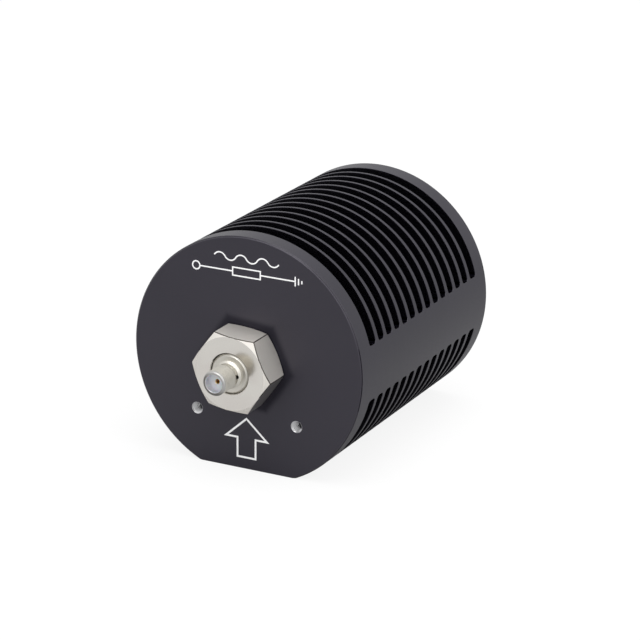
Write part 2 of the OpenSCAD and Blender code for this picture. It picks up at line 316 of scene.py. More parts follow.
@dataclass(frozen=True)
class BlackAnodise:
    """Satin black anodising on an extruded and turned bar, worn off at the mouths of the tapped holes, with
    painted shade in the slots, down the holes and beside the hexagon.
    """

    layout: Layout
    dark: Colour = (0.0036, 0.0030, 0.0075)
    light: Colour = (0.0056, 0.0048, 0.0100)
    worn: Colour = (0.0190, 0.0175, 0.0245)
    # Painted shade: the near-black colour of the slots.
    slot_shade: Colour = (0.0010, 0.0009, 0.0018)
    bare: Colour = (0.62, 0.62, 0.63)
    roughness: float = 0.42
    bare_roughness: float = 0.35
    # Painted shade: deeper than this the tapped holes take the black colour, though they are bare metal all
    # the way.
    bare_l: float = 6.4 * MM
    bare_whole: float = 0.8
    bare_ragged: float = 6.0 * MM
    bare_scale: float = 1800.0
    mouth_margin: float = 0.12 * MM
    sheen: Opaque = (0.87, 0.835, 0.93, 1.0)
    ring_depth: float = 0.004 * MM
    face_skin: float = 0.2 * MM
    rim_skin: float = 0.09 * MM
    worn_l: float = 0.41 * MM
    worn_least: float = 0.8
    worn_blotch: float = 0.4
    drawn_roughness: float = -0.14
    # Painted shade: below this height the slots' floors are black metal.
    floor_z: float = 8.1 * MM
    # Painted shadow of the hexagon on the disc: how far it reaches, how it fades and how much rougher it
    # makes the disc.
    hex_shadow_w: float = 0.9 * MM
    hex_shadow_fade: float = 2.0 * MM
    hex_shadow_roughness: float = 0.45
    draw_stretch: float = 0.02
    mark_roughness: float = 0.06
    blotch_roughness: float = 0.05
    blotch_span: tuple[float, float] = (0.35, 0.65)
    blotch_scale: float = 45.0
    ring_scale: float = 9000.0
    grain_scale: float = 4000.0
    grain_share: float = 0.3

    def material(self) -> Material:
        """Build the finish: rings where it is turned, lines in the slots, bare metal at the holes' mouths,
        and painted shade in the slots, down the holes and beside the hexagon.

        Returns:
            The material.
        """
        bench = Bench(bpy.data.materials.new("black_anodise"))
        centre = Vector((0.0, self.layout.front_y, self.layout.axis_z))
        x, y, z = bench.place(centre)
        radius = bench.distance(x, z)
        blotch = bench.noise(x, y, z, self.blotch_scale)
        rings = bench.noise(radius, y, 0.0, self.ring_scale, detail=1.0)
        lines = bench.noise(x * self.draw_stretch, y, z, self.ring_scale, detail=1.0)
        grain = bench.noise(x, y, z, self.grain_scale, detail=1.0)
        drawn = self._drawn_and_shaded_mask(y, radius)
        marks = rings * (1 - drawn) + lines * drawn
        bare = self._bare_mask(bench)
        colour = bench.mix(bench.step(blotch, *self.blotch_span), self.dark, self.light)
        # Painted shadow of the hexagon on the disc beside it: the lighter face colour is left out there, and
        # the disc is matt.
        hex_shadow = self._hex_shadow_mask(bench)
        worn = (y < self.worn_l) * (1 - hex_shadow) * (self.worn_least + self.worn_blotch * blotch)
        colour = bench.mix(worn, colour, self.worn)
        # Painted shade in the slots: they take a near-black colour.
        colour = bench.mix(drawn, colour, self.slot_shade)
        # Painted shade at the slots' floors: a black metal there gives no glint, which would mirror the sky.
        floor = drawn * (bench.math("ABSOLUTE", z) < self.floor_z)
        roughness = self.roughness + self.hex_shadow_roughness * hex_shadow + self.drawn_roughness * drawn
        roughness += self.mark_roughness * (marks - 0.5) + self.blotch_roughness * (blotch - 0.5)
        height = marks * (1 - self.grain_share) + grain * self.grain_share
        return bench.surface(
            {
                "Base Color": bench.mix(bare, colour, self.bare),
                "Metallic": bare + floor,
                "Roughness": roughness * (1 - bare) + self.bare_roughness * bare,
                "Specular Tint": self.sheen,
                "Normal": bench.bump(height, self.ring_depth),
            }
        )

    def _drawn_and_shaded_mask(self, y: Shade, radius: Shade) -> Shade:
        """Return 1 in the slots, which keep the lines of the extrusion and take painted shade, and 0
        elsewhere.
        """
        inside = (y > self.face_skin) * (y < self.layout.sink_l() - self.face_skin)
        return inside * (radius < self.layout.sink_r - self.rim_skin)

    def _hex_shadow_mask(self, bench: Bench) -> Shade:
        """Mark the painted shadow of the hexagon on the disc beside it, where the disc is darker and matt.

        Args:
            bench: The nodes to add to.

        Returns:
            1 beside the hexagon, fading to 0 further out.
        """
        x, y, z = bench.place(self.layout.port)
        inside = y < self.layout.front_y + self.face_skin - self.layout.port.y
        start = self.layout.hex_half + self.hex_shadow_w
        away = bench.reach(x, z, self.layout.flat_angles(*range(6)))
        return inside * bench.step(away, start + self.hex_shadow_fade, start)

    def _bare_mask(self, bench: Bench) -> Shade:
        """Mark the mouths of the tapped holes, where screws have worn off the anodising, and painted shade
        deeper down the holes.

        Args:
            bench: The nodes to add to.

        Returns:
            1 where the metal is bare, with a ragged end inside each hole, below which the black colour is
            painted shade.
        """
        mouth_r = self.layout.hole_r + self.mouth_margin
        mask: Any = 0.0
        for hole in self.layout.holes:
            x, y, z = bench.place(hole)
            ragged = y + self.bare_ragged * bench.noise(x, y, z, self.bare_scale)
            # Painted shade down each hole: the bare colour fades out with depth.
            unshaded_mouth = bench.step(ragged, self.bare_l, self.bare_whole * self.bare_l)
            mask = (bench.distance(x, z) < mouth_r) * unshaded_mouth + mask
        return mask


@dataclass(frozen=True)
class TurnedSteel:
    """Passivated stainless steel, turned round the port's axis. It may have drawn flats behind its face,
    with painted shade on the lower flats and on the broken edges that face up.
    """

    name: str
    layout: Layout
    colour: Colour
    tint: Colour
    roughness: float
    flat_roughness: float | None = None
    face_margin: float = 0.03 * MM
    # Painted shade: these lower flats of the hexagon take the darker colour below.
    under_flats: tuple[int, ...] = (2, 3, 4)
    under_shade_colour: Colour = (0.24, 0.23, 0.235)
    edge_shade_colour: Colour = (0.045, 0.040, 0.035)
    # The direction, as x and z, in which the broken edges take painted shade.
    edge_shade_side: tuple[float, float] = (0.5, 0.87)
    mark_roughness: float = 0.10
    cloud_roughness: float = 0.06
    ring_depth: float = 0.006 * MM
    ring_scale: float = 7000.0
    line_scale: float = 5000.0
    line_stretch: float = 0.02
    cloud_span: tuple[float, float] = (0.3, 0.7)
    cloud_scale: float = 160.0

    def material(self) -> Material:
        """Build the finish from rings round the axis, lines along it and a faint change of tint, with
        painted shade on the lower flats and on the broken edges that face up.

        Returns:
            The material.
        """
        bench = Bench(bpy.data.materials.new(self.name))
        x, y, z = bench.place(self.layout.port)
        radius = bench.distance(x, z)
        marks = bench.noise(radius, y, 0.0, self.ring_scale, detail=1.0)
        cloud = bench.noise(x, y, z, self.cloud_scale)
        roughness: Any = self.roughness
        colour = self._colour(bench, (x, y, z), bench.step(cloud, *self.cloud_span))
        if self.flat_roughness is not None:
            flat = y > self.layout.hex_y - self.layout.port.y + self.face_margin
            lines = bench.noise(x, y * self.line_stretch, z, self.line_scale, detail=1.0)
            marks = marks * (1 - flat) + lines * flat
            roughness = self.roughness * (1 - flat) + self.flat_roughness * flat
            # Painted shade on the lower flats of the hexagon.
            lowest = bench.reach(x, z, self.layout.flat_angles(*self.under_flats))
            under_shade = flat * (lowest > self.layout.hex_half - self.face_margin)
            colour = bench.mix(under_shade, colour, self.under_shade_colour)
        roughness += self.mark_roughness * (marks - 0.5) + self.cloud_roughness * (cloud - 0.5)
        edge = Shade(bench, bench.node("ShaderNodeAttribute", {"attribute_name": EDGE}).outputs["Fac"])
        # Painted shade on the broken edges that face this way.
        shaded = edge * (x * self.edge_shade_side[0] + z * self.edge_shade_side[1] > 0.0)
        return bench.surface(
            {
                "Base Color": bench.mix(shaded, colour, self.edge_shade_colour),
                "Metallic": 1.0,
                "Roughness": roughness,
                "Normal": bench.bump(marks, self.ring_depth),
            }
        )

    def _colour(self, bench: Bench, place: Place, cloud: Shade) -> NodeSocket:
        """Return the steel's colour at a place, clouded with its second tint."""
        return bench.mix(cloud, self.colour, self.tint)


@dataclass(frozen=True)
class JackSteel(TurnedSteel):
    """The jack's steel, with painted shade that greys its thread and its end, darkens the lower left of its
    end and the neck round its cross hole, and painted light that brightens its inside.
    """

    # Painted shade and light: the thread, the end, the lower left of the end and the neck round the cross
    # hole are darker, and the inside lighter.
    thread_shade_colour: Colour = (0.56, 0.54, 0.49)
    end_shade_colour: Colour = (0.44, 0.435, 0.425)
    end_w: float = 0.5 * MM
    inner_light_colour: Colour = (0.70, 0.70, 0.73)
    inner_r: float = 2.35 * MM
    rim_shade_colour: Colour = (0.17, 0.162, 0.155)
    rim_r: float = 2.42 * MM
    rim_fade: float = 2.0 * MM
    hole_shade_colour: Colour = (0.045, 0.041, 0.036)
    hole_shade_y: float = 3.175 * MM
    hole_shade_r: float = 0.72 * MM

    def _colour(self, bench: Bench, place: Place, cloud: Shade) -> NodeSocket:
        """Lay painted shade on the thread, the end, the lower left of the end's outer edge and round the
        cross hole, and painted light on the inside, over the body's colour.

        Args:
            bench: The nodes to add to.
            place: The three coordinates, from the middle of the thread.
            cloud: How much of the second tint shows.

        Returns:
            The colour.
        """
        x, y, z = place
        half = self.layout.thread_l / 2
        radius = bench.distance(x, z)
        colour = bench.mix(cloud, self.colour, self.tint)
        # Painted shade: the thread and the end are greyer, which tones down their highlights.
        colour = bench.mix(bench.step(y, half + self.end_w, half), colour, self.thread_shade_colour)
        colour = bench.mix(bench.step(y, self.end_w - half, -half), colour, self.end_shade_colour)
        # Painted light: the inside is lighter, against the shade inside the end.
        colour = bench.mix(radius < self.inner_r, colour, self.inner_light_colour)
        # Painted shade on the lower left of the end's outer edge.
        rim_shade = (radius > self.rim_r) * (y < -half) * bench.step(x + z, self.rim_fade, -self.rim_fade)
        colour = bench.mix(rim_shade, colour, self.rim_shade_colour)
        # Painted shade round the cross hole on the right of the neck.
        hole_shade = (x > 0.0) * (bench.distance(y - self.hole_shade_y, z) < self.hole_shade_r)
        return bench.mix(hole_shade, colour, self.hole_shade_colour)


@dataclass(frozen=True)
class Plain:
    """A finish of two near colours in clouds, with a fine grain."""

    name: str
    colour: Colour
    second: Colour
    roughness: float
    metallic: float = 0.0
    subsurface: float = 0.0
    subsurface_scale: float = 0.3 * MM
    cloud_roughness: float = 0.12
    cloud_scale: float = 400.0
    grain_scale: float = 9000.0
    grain_depth: float = 0.002 * MM

    def material(self) -> Material:
        """Build the finish.

        Returns:
            The material.
        """
        bench = Bench(bpy.data.materials.new(self.name))
        x, y, z = bench.place()
        cloud = bench.noise(x, y, z, self.cloud_scale)
        grain = bench.noise(x, y, z, self.grain_scale, detail=1.0)
        return bench.surface(
            {
                "Base Color": bench.mix(cloud, self.colour, self.second),
                "Metallic": self.metallic,
                "Roughness": self.roughness + self.cloud_roughness * (cloud - 0.5),
                "Normal": bench.bump(grain, self.grain_depth),
                "Subsurface Weight": self.subsurface,
                "Subsurface Scale": self.subsurface_scale,
            }
        )


def new_piece(name: str, mesh: BMesh, material: Material) -> Object:
    """Turn a bmesh into an object at the origin.

    Args:
        name: The piece's name.
        mesh: Its shape, in place. It is freed.
        material: Its only material.

    Returns:
        The new object.
    """
    data = bpy.data.meshes.new(name)
    mesh.to_mesh(data)
    mesh.free()
    data.materials.append(material)
    piece = bpy.data.objects.new(name, data)
    bpy.context.scene.collection.objects.link(piece)
    return piece


def enter(piece: Object, node: Node | None = None) -> None:
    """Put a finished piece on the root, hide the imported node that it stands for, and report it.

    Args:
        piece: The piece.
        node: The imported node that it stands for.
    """
    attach(piece, ROOT)
    if node:
        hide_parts(node.value)
    LOG.info("%s: %d faces", piece.name, len(piece.data.polygons))


def dress(material: Material, *nodes: Node) -> None:
    """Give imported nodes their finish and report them.

    Args:
        material: The finish.
        nodes: The nodes that take it.
    """
    for node in nodes:
        for slot in frame["nodes"][node.value].material_slots:
            slot.material = material
        LOG.info("%s: %s", node.value, material.name)


def cut(piece: Object, cutter: Object) -> None:
    """Cut one shape out of another and keep the result as a plain mesh.

    Args:
        piece: The object that is cut.
        cutter: The object that cuts. It is removed.
    """
    modifier = piece.modifiers.new("cut", "BOOLEAN")
    modifier.operation = "DIFFERENCE"
    modifier.solver = "EXACT"
    modifier.object = cutter
    evaluated = piece.evaluated_get(bpy.context.evaluated_depsgraph_get())
    result = bpy.data.meshes.new_from_object(evaluated)
    piece.modifiers.clear()
    piece.data = result
    bpy.data.objects.remove(cutter)


def bevel(mesh: BMesh, edges: list[Any], width: float, steps: int = 1) -> list[Any]:
    """Bevel edges by a width on each side, round where there are several steps. Return the new faces."""
    how = {"offset_type": "OFFSET", "affect": "EDGES", "profile": 0.5, "material": -1}
    return bmesh.ops.bevel(mesh, geom=edges, offset=width, segments=steps, **how)["faces"]


def finish_edges(piece: Object, smooth: float, width: float = 0.0, sharp: float = 1.0) -> None:
    """Break the sharp outer edges of a piece and mark them, then shade it smooth apart from its edges.

    Args:
        piece: The piece, whose mesh is closed.
        smooth: The angle between faces above which an edge stays crisp, in degrees.
        width: How far the bevel reaches on each side of an edge. At 0 no edge is broken.
        sharp: The angle above which an outer edge is broken, in degrees.
    """
    if width:
        mesh = bmesh.new()
        mesh.from_mesh(piece.data)
        bmesh.ops.remove_doubles(mesh, verts=mesh.verts, dist=MERGE)
        layer = mesh.faces.layers.float.new(EDGE)
        outer = [edge for edge in mesh.edges if edge.is_manifold and edge.is_convex]
        crisp = [edge for edge in outer if edge.calc_face_angle() > math.radians(sharp)]
        for face in bevel(mesh, crisp, width):
            face[layer] = 1.0
        mesh.to_mesh(piece.data)
        mesh.free()
    piece.data.shade_smooth()
    piece.data.set_sharp_from_angle(angle=math.radians(smooth))


def outline(mesh: BMesh, section: Section, centre: Vector, closed: bool = True) -> list[Any]:
    """Draw an outline in the plane x = centre.x, beside an axis that runs along -Y.

    Args:
        mesh: The mesh to draw in.
        section: Points of radius and distance along -Y from the centre.
        centre: The point on the axis from which the outline is measured.
        closed: Whether the last point joins the first.

    Returns:
        The outline's vertices and edges.
    """
    verts = [mesh.verts.new(centre + Vector((0.0, -along, radius))) for radius, along in section]
    ends = verts[1:] + verts[:1] if closed else verts[1:]
    return verts + [mesh.edges.new(pair) for pair in zip(verts, ends)]


def rod(mesh: BMesh, radius: float, length: float, place: Matrix, steps: int) -> None:
    """Make a plain round rod, upright before its place turns it, with a number of faces round it."""
    bmesh.ops.create_cone(
        mesh, cap_ends=True, segments=steps, radius1=radius, radius2=radius, depth=length, matrix=place
    )


def turn(mesh: BMesh, section: Section, centre: Vector, steps: int, closed: bool = True) -> None:
    """Turn an outline right round an axis that runs along -Y.

    Args:
        mesh: The mesh to draw in.
        section: Points of radius and distance along -Y. An open outline starts and ends on the axis.
        centre: The point on the axis from which the section is measured.
        steps: Faces round the axis.
        closed: Whether the outline is closed, which makes a ring.
    """
    geom = outline(mesh, section, centre, closed)
    axis = (0, -1, 0)
    bmesh.ops.spin(mesh, geom=geom, cent=centre, axis=axis, angle=math.tau, steps=steps, use_merge=True)
    bmesh.ops.remove_doubles(mesh, verts=mesh.verts, dist=MERGE)
    bmesh.ops.recalc_face_normals(mesh, faces=mesh.faces)


@dataclass(frozen=True)
class ScrewThread:
    """A thread's form: a groove or a ridge that climbs round an axis along -Y."""

    pitch: float
    root_r: float
    crest_r: float
    wide: float = 0.875
    narrow: float = 0.25
    steps: int = 72

    def coil(self, centre: Vector, turns: float) -> BMesh:
        """Sweep the thread's section along its helix.

        Args:
            centre: The point on the axis where the sweep starts.
            turns: How many turns it makes.

        Returns:
            A closed coil, wide at root_r and narrow at crest_r.
        """
        mesh = bmesh.new()
        half_wide, half_narrow = self.wide * self.pitch / 2, self.narrow * self.pitch / 2
        section = [
            (self.root_r, -half_wide),
            (self.root_r, half_wide),
            (self.crest_r, half_narrow),
            (self.crest_r, -half_narrow),
        ]
        count = round(turns * self.steps)
        geom = outline(mesh, section, centre)
        climb, angle = (0, -self.pitch / self.steps, 0), math.tau * turns
        bmesh.ops.spin(mesh, geom=geom, cent=centre, axis=(0, -1, 0), dvec=climb, angle=angle, steps=count)
        bmesh.ops.holes_fill(mesh, edges=[edge for edge in mesh.edges if edge.is_boundary], sides=0)
        bmesh.ops.recalc_face_normals(mesh, faces=mesh.faces)
        return mesh


@dataclass
class HeatSink:
    """The finned bar between its two discs, and the threads of its two front holes."""

    layout: Layout
    segments: int = 288
    disc_t: float = 5.64 * MM
    rim_bevel: float = 0.4 * MM
    fin_count: int = 13
    fin_t: float = 1.53 * MM
    fin_lean: float = math.radians(0.9)
    end_slot_w: float = 3.42 * MM
    slot_fillet: float = 0.95 * MM
    fillet_steps: int = 8
    web_t: float = 14.2 * MM
    edge_break: float = 0.08 * MM
    rim_angle: float = math.radians(80)
    cutter_margin: float = 1.0 * MM
    overrun: float = 0.5 * MM
    bore_r: float = 4.7825 * MM
    bore_l: float = 15.5 * MM
    bore_bevel: float = 0.4 * MM
    pilot_r: float = 4.35 * MM
    pilot_l: float = 31.5 * MM
    drill_half_angle: float = math.radians(59)
    drill_steps: int = 72
    hole_bevel: float = 0.08 * MM
    thread_pitch: float = 0.635 * MM
    thread_depth: float = 0.29 * MM
    thread_seat: float = 0.02 * MM
    thread_start: float = 0.35 * MM
    thread_l: float = 4.9 * MM
    thread_steps: int = 40

    def build(self) -> None:
        """Make the round bar, cut its slots and bores, break its edges and thread its front holes."""
        anodise = BlackAnodise(self.layout).material()
        piece = new_piece("heat_sink_bar", self._bar(), anodise)
        cut(piece, new_piece("slots", self._slot_cutters(), anodise))
        cut(piece, new_piece("drills", self._drills(), anodise))
        finish_edges(piece, smooth=20.0, width=self.edge_break, sharp=60.0)
        enter(piece, Node.HEAT_SINK)
        for side, hole in zip(("left", "right"), self.layout.holes):
            self._thread(f"front_hole_thread_{side}", hole, anodise)

    def _bar(self) -> BMesh:
        """Turn the plain bar, bevel its two rims and cut the flat along its bottom.

        Returns:
            The bar's mesh.
        """
        radius = self.layout.sink_r
        middle = Vector((0.0, (self.layout.front_y + self.layout.rear_y) / 2, self.layout.axis_z))
        mesh = bmesh.new()
        rod(mesh, radius, self.layout.sink_l(), Matrix.Translation(middle) @ TO_PORT, self.segments)
        bevel(mesh, [edge for edge in mesh.edges if edge.calc_face_angle() > self.rim_angle], self.rim_bevel)
        every = mesh.verts[:] + mesh.edges[:] + mesh.faces[:]
        sawn = bmesh.ops.bisect_plane(
            mesh, geom=every, dist=MERGE, plane_co=(0, 0, 0), plane_no=(0, 0, -1), clear_outer=True
        )
        around = [item for item in sawn["geom_cut"] if isinstance(item, BMEdge)]
        bmesh.ops.edgeloop_fill(mesh, edges=around)
        bmesh.ops.recalc_face_normals(mesh, faces=mesh.faces)
        return mesh

    def _slots(self) -> list[tuple[float, float]]:
        """Space the cooling slots between the two discs.

        Returns:
            The middle of each slot and its width at the web, from the front.
        """
        start, end = self.layout.front_y + self.disc_t, self.layout.rear_y - self.disc_t
        inner = end - start - 2 * self.end_slot_w - self.fin_count * self.fin_t
        spaces = self.fin_count - 1
        widths = [self.end_slot_w] + [inner / spaces] * spaces + [self.end_slot_w]
        slots = []
        for width in widths:
            slots.append((start + width / 2, width))
            start += width + self.fin_t
        return slots

    def _slot_cutters(self) -> BMesh:
        """Put a cutter in every slot, above and below the web, with both edges of its floor rounded.

        Returns:
            The cutters' mesh.
        """
        mesh = bmesh.new()
        corners = []
        for middle, width in self._slots():
            for side in (-1, 1):
                corners += self._slot_cutter(mesh, middle, width, side)
        tangent_l = self.slot_fillet / math.tan((math.pi / 2 + self.fin_lean) / 2)
        bevel(mesh, corners, tangent_l, self.fillet_steps)
        bmesh.ops.recalc_face_normals(mesh, faces=mesh.faces)
        return mesh

    def _slot_cutter(self, mesh: BMesh, middle: float, width: float, side: int) -> list[Any]:
        """Make one block whose walls lean outwards.

        Args:
            mesh: The mesh to draw in.
            middle: The slot's middle along the bar.
            width: Its width at the web.
            side: 1 above the web, -1 below it.

        Returns:
            The two long edges of the block's floor.
        """
        reach = self.layout.sink_r + self.cutter_margin
        depth = reach - self.web_t / 2
        spread = 1 + 2 * depth * math.tan(self.fin_lean) / width
        floor = Vector((0.0, middle, self.layout.axis_z + side * self.web_t / 2))
        size = Matrix.Diagonal((2 * reach, width, side * depth, 1.0))
        place = Matrix.Translation(floor) @ size @ Matrix.Translation((0.0, 0.0, 0.5))
        made = bmesh.ops.create_cube(mesh, size=1.0, matrix=place)["verts"]
        outer = [vert for vert in made if abs(vert.co.z - floor.z) > depth / 2]
        bmesh.ops.scale(mesh, verts=outer, vec=(1.0, spread, 1.0), space=Matrix.Translation(-floor))
        inner = {edge for vert in made if vert not in outer for edge in vert.link_edges}
        return [edge for edge in inner if abs(edge.verts[0].co.x - edge.verts[1].co.x) > reach]

    def _drills(self) -> BMesh:
        """Turn the cutters of the stepped bore and of the two front holes.

        Returns:
            The cutters' mesh.
        """
        mesh = bmesh.new()
        bore = Vector((0.0, self.layout.front_y, self.layout.port.z))
        step, tip = self.bore_l, self.pilot_l + self.pilot_r / math.tan(self.drill_half_angle)
        self._drill(mesh, bore, self.bore_bevel, [
            (self.bore_r, -step),
            (self.pilot_r, -step),
            (self.pilot_r, -self.pilot_l),
            (0.0, -tip),
        ])
        through = self.disc_t + self.overrun
        for hole in self.layout.holes:
            self._drill(mesh, hole, self.hole_bevel, [(self.layout.hole_r, -through), (0.0, -through)])
        return mesh

    def _drill(self, mesh: BMesh, mouth: Vector, slant: float, inside: Section) -> None:
        """Turn one cutter, with a bevelled mouth.

        Args:
            mesh: The mesh to draw in.
            mouth: The middle of the hole on the front face.
            slant: The width of the mouth's bevel.
            inside: The hole's section behind its bevel, down to the axis.
        """
        radius = inside[0][0]
        flare = [(0.0, self.overrun), (radius + slant + self.overrun, self.overrun), (radius, -slant)]
        turn(mesh, flare + inside, mouth, self.drill_steps, closed=False)

    def _thread(self, name: str, hole: Vector, material: Material) -> None:
        """Run a ridge up the wall of one tapped hole.

        Args:
            name: The ridge's name.
            hole: The middle of the hole's mouth.
            material: Its finish.
        """
        root_r = self.layout.hole_r + self.thread_seat
        crest_r = self.layout.hole_r - self.thread_depth
        thread = ScrewThread(self.thread_pitch, root_r, crest_r, steps=self.thread_steps)
        deep_end = hole + Vector((0.0, self.thread_start + self.thread_l, 0.0))
        piece = new_piece(name, thread.coil(deep_end, self.thread_l / self.thread_pitch), material)
        finish_edges(piece, smooth=30.0)
        enter(piece)


@dataclass
class Jack:
    """The coaxial jack: a turned shell with a real thread and the cross hole in its neck."""

    layout: Layout
    flange_r: float = 5.1 * MM
    flange_t: float = 2.2 * MM
    flange_bevel: float = 0.45 * MM
    spigot_r: float = 3.19 * MM
    spigot_l: float = 4.2 * MM
    collar_r: float = 3.6 * MM
    collar_l: float = 0.95 * MM
    collar_bevel: float = 0.55 * MM
    neck_r: float = 2.725 * MM
    neck_l: float = 1.2 * MM
    tip_bevel: float = 0.4 * MM
    counterbore_r: float = 2.3 * MM
    counterbore_l: float = 1.9 * MM
    bore_r: float = 2.07 * MM
    cross_hole_r: float = 0.525 * MM
    edge_break: float = 0.06 * MM
    pitch: float = 25.4 * MM / 36
    thread_depth: float = 0.42 * MM
    groove_margin: float = 0.03 * MM
    groove_narrow: float = 0.2
    groove_start: float = 0.3
    groove_overrun: float = 0.5
    cutter_margin: float = 1.0 * MM
    cross_hole_steps: int = 32
    steps: int = 144

    def build(self) -> None:
        """Turn the shell, cut its thread and its cross hole, and dress what it holds."""
        finish = JackSteel("jack_steel", self.layout, (0.67, 0.645, 0.585), (0.63, 0.61, 0.56), 0.42)
        steel = finish.material()
        piece = new_piece("jack_shell_threaded", self._shell(), steel)
        cut(piece, new_piece("thread_cutter", self._thread_groove(), steel))
        cut(piece, new_piece("cross_hole_cutter", self._cross_hole(), steel))
        finish_edges(piece, smooth=28.0)
        enter(piece, Node.JACK_SHELL)
        insulator = Plain("white_insulator", (0.64, 0.65, 0.68), (0.71, 0.72, 0.74), 0.45, subsurface=0.3)
        gold = Plain("gold_plate", (0.83, 0.60, 0.28), (0.78, 0.54, 0.24), 0.22, metallic=1.0)
        epoxy = Plain("dark_epoxy", (0.012, 0.010, 0.009), (0.008, 0.007, 0.006), 0.7)
        dress(insulator.material(), Node.DIELECTRIC)
        dress(gold.material(), Node.CENTRE_CONTACT)
        dress(epoxy.material(), Node.CAPTIVATION_PLUG)

    def _shell(self) -> BMesh:
        """Turn the shell from its half section, measured from the middle of the thread.

        Returns:
            The shell's mesh.
        """
        thread_r, tip = self.layout.thread_r, self.layout.thread_l / 2 + self.tip_bevel
        neck_top = -self.layout.thread_l / 2
        collar_top = neck_top - self.neck_l
        flange_top = collar_top - self.collar_l
        flange_low = flange_top - self.flange_t
        rear = flange_low - self.spigot_l
        floor = tip - self.counterbore_l
        section = [
            (self.bore_r, rear),
            (self.spigot_r, rear),
            (self.spigot_r, flange_low),
            (self.flange_r, flange_low),
            (self.flange_r, flange_top - self.flange_bevel),
            (self.flange_r - self.flange_bevel, flange_top),
            (self.collar_r, flange_top),
            (self.collar_r, collar_top - self.collar_bevel),
            (self.collar_r - self.collar_bevel, collar_top),
            (self.neck_r, collar_top),
            (self.neck_r, neck_top),
            (thread_r - self.edge_break, neck_top),
            (thread_r, neck_top + self.edge_break),
            (thread_r, tip - self.tip_bevel),
            (thread_r - self.tip_bevel, tip),
            (self.counterbore_r + self.edge_break, tip),
            (self.counterbore_r, tip - self.edge_break),
            (self.counterbore_r, floor),
            (self.bore_r, floor),
        ]
        mesh = bmesh.new()
        turn(mesh, section, self.layout.port, self.steps)
        return mesh

    def _thread_groove(self) -> BMesh:
        """Sweep the groove that cuts the thread, from the neck out past the port's end.

        Returns:
            The groove's mesh.
        """
        outside = self.layout.thread_r + self.groove_margin
        inside = self.layout.thread_r - self.thread_depth
        behind = self.layout.thread_l / 2 - self.groove_start * self.pitch
        turns = (self.layout.thread_l + self.tip_bevel) / self.pitch + self.groove_overrun
        thread = ScrewThread(self.pitch, outside, inside, narrow=self.groove_narrow)
        return thread.coil(self.layout.port + Vector((0.0, behind, 0.0)), turns)

    def _cross_hole(self) -> BMesh:
        """Make the round cutter for the hole in the right side of the neck.

        Returns:
            The cutter's mesh.
        """
        mesh = bmesh.new()
        reach = self.collar_r + self.cutter_margin
        middle = self.layout.port + Vector((reach / 2, self.layout.thread_l / 2 + self.neck_l / 2, 0.0))
        place = Matrix.Translation(middle) @ Matrix.Rotation(math.pi / 2, 4, "Y")
        rod(mesh, self.cross_hole_r, reach, place, self.cross_hole_steps)
        return mesh


@dataclass
class Barrel:
    """The hexagonal barrel and what it holds out of sight."""

    layout: Layout
    edge_break: float = 0.16 * MM
    level_angle: float = math.radians(0.5)

    def build(self) -> None:
        """Break the barrel's edges, and dress it and every piece of the line inside it."""
        base, tint = (0.77, 0.745, 0.70), (0.74, 0.705, 0.665)
        steel = TurnedSteel("barrel_steel", self.layout, base, tint, 0.16, flat_roughness=0.54).material()
        gold = Plain("inner_gold", (0.83, 0.60, 0.28), (0.78, 0.54, 0.24), 0.25, metallic=1.0)
        bronze = Plain("spring_bronze", (0.70, 0.45, 0.22), (0.62, 0.38, 0.18), 0.32, metallic=1.0)
        bead = Plain("bead_plastic", (0.75, 0.70, 0.60), (0.70, 0.65, 0.55), 0.5)
        film = Plain("film_ceramic", (0.20, 0.15, 0.11), (0.15, 0.11, 0.08), 0.6)
        self._hexagon(steel)
        dress(steel, Node.REAR_PLUG)
        dress(gold.material(), Node.FRONT_CAP, Node.REAR_CAP)
        dress(bronze.material(), Node.GROUND_COLLET)
        dress(bead.material(), Node.SUPPORT_BEAD)
        dress(film.material(), Node.RESISTOR_ROD)

    def _hexagon(self, material: Material) -> None:
        """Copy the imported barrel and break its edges.

        Args:
            material: The copy's finish.
        """
        mesh = bmesh.new()
        mesh.from_mesh(frame["nodes"][Node.HEX_BARREL.value].data)
        bmesh.ops.remove_doubles(mesh, verts=mesh.verts, dist=MERGE)
        bmesh.ops.dissolve_limit(mesh, angle_limit=self.level_angle, verts=mesh.verts, edges=mesh.edges)
        piece = new_piece("hex_barrel_finished", mesh, material)
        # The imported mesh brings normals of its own, which don't fit the bevels.
        stale = piece.data.attributes.get("custom_normal")
        if stale:
            piece.data.attributes.remove(stale)
        finish_edges(piece, smooth=28.0, width=self.edge_break, sharp=40.0)
        enter(piece, Node.HEX_BARREL)


